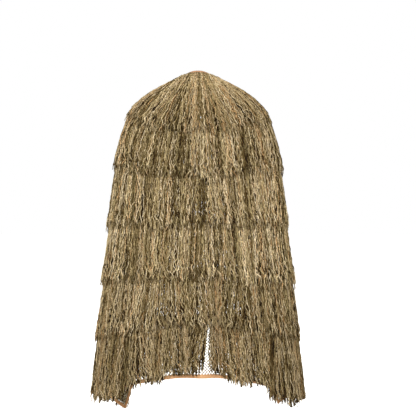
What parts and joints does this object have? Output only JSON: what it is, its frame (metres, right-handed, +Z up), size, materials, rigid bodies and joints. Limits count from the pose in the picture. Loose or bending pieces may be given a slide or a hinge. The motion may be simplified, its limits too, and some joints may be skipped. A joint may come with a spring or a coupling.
{
  "type": "ghillie cape",
  "caption": "Open-fronted camouflage netting cape covered in rows of hanging yarn fringe, with bound edges and a snap tab at the neck.",
  "frame": {"origin": "centre of the neck opening, level with the neckline at the nape", "axes": "+Z up; the wearer faces -Y, so +Y is the back of the cape; +X is the wearer's left"},
  "size_m": [0.8573, 0.4175, 1.3791],
  "materials": {
    "camo_net": "see-through knotted mesh printed in tan, pale green and dark brown",
    "yarn": "matt mixed yarn in tan, olive grey, brown and dark brown",
    "row_tape": "matt woven tape",
    "edge_binding": "matt woven orange-tan tape with a stitch line",
    "webbing": "matt olive webbing",
    "snap_metal": "dark oxidised brass"
  },
  "bodies": {
    "cape_back": {"back_fringe_row_3": "yarn", "back_fringe_row_4": "yarn", "back_fringe_row_5": "yarn", "back_fringe_row_6": "yarn", "back_fringe_tape_3": "row_tape", "back_fringe_tape_4": "row_tape", "back_fringe_tape_5": "row_tape", "back_fringe_tape_6": "row_tape", "back_hem_binding": "edge_binding", "back_net_panel": "camo_net", "fringe_row_1": "yarn", "fringe_row_2": "yarn", "fringe_tape_1": "row_tape", "fringe_tape_2": "row_tape", "left_chest_edge_binding": "edge_binding", "left_chest_net_panel": "camo_net", "left_shoulder_seam_tape": "row_tape", "left_side_seam_tape": "row_tape", "neck_binding": "edge_binding", "right_chest_edge_binding": "edge_binding", "right_chest_net_panel": "camo_net", "right_shoulder_seam_tape": "row_tape", "right_side_seam_tape": "row_tape", "snap_patch": "webbing", "snap_post": "snap_metal", "snap_stud": "snap_metal", "tab_anchor": "webbing"},
    "left_front": {"left_fringe_row_3": "yarn", "left_fringe_row_4": "yarn", "left_fringe_row_5": "yarn", "left_fringe_row_6": "yarn", "left_fringe_tape_3": "row_tape", "left_fringe_tape_4": "row_tape", "left_fringe_tape_5": "row_tape", "left_fringe_tape_6": "row_tape", "left_front_edge_binding": "edge_binding", "left_front_net_panel": "camo_net", "left_hem_binding": "edge_binding"},
    "right_front": {"right_fringe_row_3": "yarn", "right_fringe_row_4": "yarn", "right_fringe_row_5": "yarn", "right_fringe_row_6": "yarn", "right_fringe_tape_3": "row_tape", "right_fringe_tape_4": "row_tape", "right_fringe_tape_5": "row_tape", "right_fringe_tape_6": "row_tape", "right_front_edge_binding": "edge_binding", "right_front_net_panel": "camo_net", "right_hem_binding": "edge_binding"},
    "closure_tab": {"neck_tab": "webbing", "snap_cap": "snap_metal", "snap_socket": "snap_metal"}
  },
  "joints": [
    {"name": "left_front_swing", "type": "hinge", "parent": "cape_back", "child": "left_front", "pos_m": [0.3182, 0, -0.3367], "axis": [-0.1078, 0, 0.9942], "range_deg": [0, 45]},
    {"name": "right_front_swing", "type": "hinge", "parent": "cape_back", "child": "right_front", "pos_m": [-0.3182, 0, -0.3367], "axis": [-0.1078, 0, -0.9942], "range_deg": [0, 45]},
    {"name": "tab_fold", "type": "hinge", "parent": "cape_back", "child": "closure_tab", "pos_m": [0.03025, -0.07948, -0.06954], "axis": [0, 0.5395, 0.842], "range_deg": [0, 110]}
  ]
}
